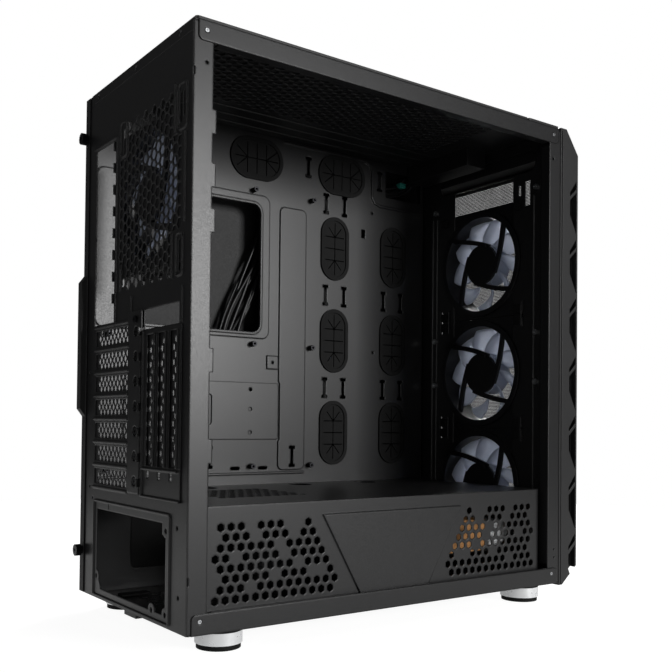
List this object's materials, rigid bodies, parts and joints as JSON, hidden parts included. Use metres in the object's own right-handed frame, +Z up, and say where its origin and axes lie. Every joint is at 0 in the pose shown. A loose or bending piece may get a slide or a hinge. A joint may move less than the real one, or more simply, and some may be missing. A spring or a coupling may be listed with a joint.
{
  "type": "desktop computer tower",
  "caption": "Open mid-tower computer case with vented rear, board tray, lower shroud, three front fans, a rear fan and round feet.",
  "frame": {"origin": "on the floor under the middle of the bounding box", "axes": "+Z up, front towards -Y, rear towards +Y, open window side towards -X"},
  "size_m": [0.213, 0.449, 0.474],
  "materials": {
    "powder_steel": "fine textured black powder coat",
    "cover_steel": "fine textured black powder coat",
    "mesh_steel": "woven black mesh",
    "zinc_screws": "zinc plated",
    "brass_standoffs": "turned brass",
    "black_screws": "black oxide",
    "moulded_abs": "fine spark-textured black",
    "button_plastic": "satin black",
    "plated_shells": "nickel plated",
    "filter_plastic": "matte black with fine mesh",
    "chrome_rings": "polished chrome",
    "foot_rubber": "matte black rubber",
    "tray_plastic": "satin black",
    "carton_board": "plain brown board",
    "bag_film": "milky polythene film",
    "cable_sleeve": "matte black sheath",
    "grommet_rubber": "matte black rubber",
    "fan_plastic": "satin black",
    "blade_plastic": "milky translucent"
  },
  "bodies": {
    "chassis": {"rear_panel": "powder_steel", "rear_post": "powder_steel", "front_post": "powder_steel", "top_rail": "powder_steel", "bottom_rail": "powder_steel", "motherboard_tray": "powder_steel", "base_pan": "powder_steel", "top_panel": "powder_steel", "front_frame": "powder_steel", "psu_shroud": "powder_steel", "slot_cover_1": "cover_steel", "slot_cover_2": "cover_steel", "slot_cover_3": "cover_steel", "slot_cover_4": "cover_steel", "slot_cover_5": "cover_steel", "slot_cover_6": "cover_steel", "slot_cover_7": "cover_steel", "upright_slot_cover_1": "cover_steel", "upright_slot_cover_2": "cover_steel", "upright_slot_cover_3": "cover_steel", "slot_lock_strip": "powder_steel", "upright_slot_bracket": "powder_steel", "case_screws": "zinc_screws", "frame_rivets": "zinc_screws", "board_standoffs": "brass_standoffs", "grommet_top_1": "grommet_rubber", "grommet_top_2": "grommet_rubber", "grommet_side_1": "grommet_rubber", "grommet_side_2": "grommet_rubber", "grommet_side_3": "grommet_rubber", "grommet_side_4": "grommet_rubber", "grommet_side_5": "grommet_rubber", "grommet_side_6": "grommet_rubber", "drive_plate": "powder_steel", "front_fan_frame_1": "fan_plastic", "front_fan_frame_2": "fan_plastic", "front_fan_frame_3": "fan_plastic", "rear_fan_frame": "fan_plastic", "fan_screws": "black_screws", "top_io_strip": "moulded_abs", "io_sockets": "plated_shells", "foot_rings": "chrome_rings", "foot_pads": "foot_rubber", "drive_cage": "powder_steel", "accessory_carton": "carton_board", "parts_bag": "bag_film", "io_harness": "cable_sleeve"},
    "front_rotor_top": {"front_rotor_1": "blade_plastic"},
    "front_rotor_middle": {"front_rotor_2": "blade_plastic"},
    "front_rotor_bottom": {"front_rotor_3": "blade_plastic"},
    "rear_rotor_body": {"rear_rotor": "blade_plastic"},
    "side_panel": {"right_panel": "powder_steel", "side_thumbscrews": "black_screws"},
    "front_cover": {"front_panel": "moulded_abs", "front_mesh": "mesh_steel"},
    "power_key": {"power_button": "button_plastic"},
    "reset_key": {"reset_button": "button_plastic"},
    "lid_filter": {"top_filter": "filter_plastic"},
    "floor_filter": {"psu_filter": "filter_plastic"},
    "tray_slider": {"drive_tray": "tray_plastic"}
  },
  "joints": [
    {"name": "front_fan_spin_1", "type": "hinge", "parent": "chassis", "child": "front_rotor_top", "pos_m": [0, -0.2065, 0.3485], "axis": [0, 1, 0], "continuous": true},
    {"name": "front_fan_spin_2", "type": "hinge", "parent": "chassis", "child": "front_rotor_middle", "pos_m": [0, -0.2065, 0.2285], "axis": [0, 1, 0], "continuous": true},
    {"name": "front_fan_spin_3", "type": "hinge", "parent": "chassis", "child": "front_rotor_bottom", "pos_m": [0, -0.2065, 0.1085], "axis": [0, 1, 0], "continuous": true},
    {"name": "rear_fan_spin", "type": "hinge", "parent": "chassis", "child": "rear_rotor_body", "pos_m": [-0.0283, 0.2035, 0.3534], "axis": [0, 1, 0], "continuous": true},
    {"name": "side_panel_slide", "type": "slide", "parent": "chassis", "child": "side_panel", "axis": [0, 1, 0], "range_m": [0, 0.02]},
    {"name": "front_panel_pull", "type": "slide", "parent": "chassis", "child": "front_cover", "axis": [0, -1, 0], "range_m": [0, 0.03]},
    {"name": "power_press", "type": "slide", "parent": "chassis", "child": "power_key", "axis": [0, 0, -1], "range_m": [0, 0.0012], "stiffness_N_per_m": 400, "springref_m": -0.0008},
    {"name": "reset_press", "type": "slide", "parent": "chassis", "child": "reset_key", "axis": [0, 0, -1], "range_m": [0, 0.001], "stiffness_N_per_m": 300, "springref_m": -0.0008},
    {"name": "top_filter_lift", "type": "slide", "parent": "chassis", "child": "lid_filter", "axis": [0, 0, 1], "range_m": [0, 0.04]},
    {"name": "psu_filter_slide", "type": "slide", "parent": "chassis", "child": "floor_filter", "axis": [0, 1, 0], "range_m": [0, 0.15]},
    {"name": "drive_tray_slide", "type": "slide", "parent": "chassis", "child": "tray_slider", "axis": [1, 0, 0], "range_m": [0, 0.024]}
  ]
}
